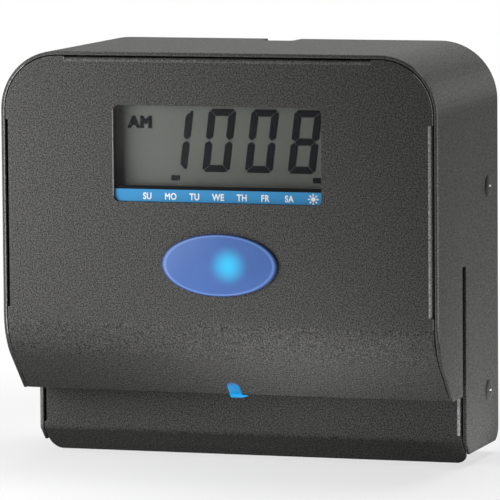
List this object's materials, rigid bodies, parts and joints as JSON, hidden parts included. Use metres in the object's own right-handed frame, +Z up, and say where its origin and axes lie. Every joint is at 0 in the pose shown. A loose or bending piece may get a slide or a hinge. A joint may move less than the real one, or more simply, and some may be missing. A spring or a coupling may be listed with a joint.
{
  "type": "time clock",
  "caption": "Wall-hung sheet-steel time clock with a recessed digit display, weekday strip, domed badge and a bottom card throat that leads to a platen and print head.",
  "frame": {"origin": "middle of the back plate's rear face, where the clock lies on the wall", "axes": "+Z up, +Y into the wall, +X to the right seen from the front, so the front faces -Y"},
  "size_m": [0.1874, 0.0947, 0.17],
  "materials": {
    "case_paint": "satin fine-textured powder coat, charcoal grey",
    "screw_paint": "black zinc, satin",
    "zinc_sheet": "zinc-plated sheet steel",
    "bright_steel": "bright zinc-plated steel",
    "spring_steel": "oiled spring steel",
    "clear_lens": "clear acrylic",
    "strip_print": "blue screen print",
    "display_glass": "reflective liquid crystal glass, grey-green",
    "black_plastic": "moulded black plastic",
    "contact_rubber": "layered conductive rubber",
    "board_green": "green solder mask",
    "badge_dome": "clear resin dome over blue print",
    "pointer_blue": "translucent blue acrylic",
    "lamp_white": "diffused lamp and small board",
    "brass": "turned brass",
    "bronze": "sintered bronze",
    "aluminium": "extruded aluminium",
    "head_ceramic": "glazed ceramic",
    "roller_rubber": "ground black rubber",
    "gear_plastic": "natural acetal",
    "motor_steel": "pressed steel can",
    "button_red": "red moulded plastic",
    "ribbon_grey": "flat grey ribbon"
  },
  "bodies": {
    "case": {"case_wrap": "case_paint", "front_panel": "case_paint", "guide_plate": "case_paint", "back_plate": "zinc_sheet", "case_screws": "screw_paint", "clinch_nuts": "bright_steel", "chassis_screws": "bright_steel", "window_lens": "clear_lens", "day_strip": "strip_print", "lcd_glass": "display_glass", "lcd_holder": "black_plastic", "contact_strips": "contact_rubber", "display_board": "board_green", "display_studs": "bright_steel", "display_nuts": "bright_steel", "badge": "badge_dome", "card_pointer": "pointer_blue", "pointer_lamp": "lamp_white", "chute_plate": "zinc_sheet", "chute_spacers": "brass", "chute_screws": "bright_steel", "head_yoke": "zinc_sheet", "yoke_screws": "bright_steel", "head_pivot": "bright_steel", "retaining_clips": "spring_steel", "head_springs": "spring_steel", "mech_frame": "zinc_sheet", "frame_screws": "bright_steel", "platen_bushes": "bronze", "idler_stud": "bright_steel", "motor_body": "motor_steel", "motor_screws": "bright_steel", "flag_bracket": "zinc_sheet", "flag_pin": "bright_steel", "flag_sensor": "black_plastic", "main_board": "board_green", "board_standoffs": "brass", "board_screws": "bright_steel", "board_parts": "black_plastic", "cell_holder": "black_plastic", "coin_cell": "bright_steel", "buzzer": "black_plastic", "power_jack": "black_plastic", "setting_switches": "black_plastic", "display_ribbon": "ribbon_grey"},
    "platen": {"platen_shaft": "bright_steel", "platen_roller": "roller_rubber", "platen_gear": "gear_plastic", "platen_clips": "spring_steel"},
    "idler": {"idler_gear": "gear_plastic"},
    "motor_rotor": {"motor_shaft": "bright_steel", "motor_pinion": "brass"},
    "head": {"head_bracket": "zinc_sheet", "heat_sink": "aluminium", "print_head": "head_ceramic"},
    "flag": {"card_flag": "black_plastic"},
    "button_1": {"set_button_1": "button_red"},
    "button_2": {"set_button_2": "button_red"},
    "button_3": {"set_button_3": "button_red"}
  },
  "joints": [
    {"name": "platen_spin", "type": "hinge", "parent": "case", "child": "platen", "pos_m": [0, -0.0413, -0.023], "axis": [1, 0, 0], "continuous": true},
    {"name": "idler_spin", "type": "hinge", "parent": "case", "child": "idler", "pos_m": [-0.061, -0.03369, -0.00669], "axis": [1, 0, 0], "continuous": true},
    {"name": "motor_spin", "type": "hinge", "parent": "case", "child": "motor_rotor", "pos_m": [-0.061, -0.03109, 0.00809], "axis": [1, 0, 0], "continuous": true},
    {"name": "head_tilt", "type": "hinge", "parent": "case", "child": "head", "pos_m": [0, -0.067, 0.005], "axis": [-1, 0, 0], "range_deg": [0, 10], "stiffness_Nm_per_rad": 0.2, "springref_deg": -8.59, "deforming": ["head_springs"]},
    {"name": "flag_tilt", "type": "hinge", "parent": "case", "child": "flag", "pos_m": [-0.02, -0.0445, 0.008], "axis": [1, 0, 0], "range_deg": [0, 25], "stiffness_Nm_per_rad": 0.0005, "springref_deg": -28.65},
    {"name": "button_1_press", "type": "slide", "parent": "case", "child": "button_1", "axis": [0, 1, 0], "range_m": [0, 0.0005], "stiffness_N_per_m": 200, "springref_m": -0.001},
    {"name": "button_2_press", "type": "slide", "parent": "case", "child": "button_2", "axis": [0, 1, 0], "range_m": [0, 0.0005], "stiffness_N_per_m": 200, "springref_m": -0.001},
    {"name": "button_3_press", "type": "slide", "parent": "case", "child": "button_3", "axis": [0, 1, 0], "range_m": [0, 0.0005], "stiffness_N_per_m": 200, "springref_m": -0.001}
  ],
  "couplings": [
    {"joint": "idler_spin", "follows": "platen_spin", "ratio": -0.66667},
    {"joint": "motor_spin", "follows": "platen_spin", "ratio": 1.7143}
  ]
}
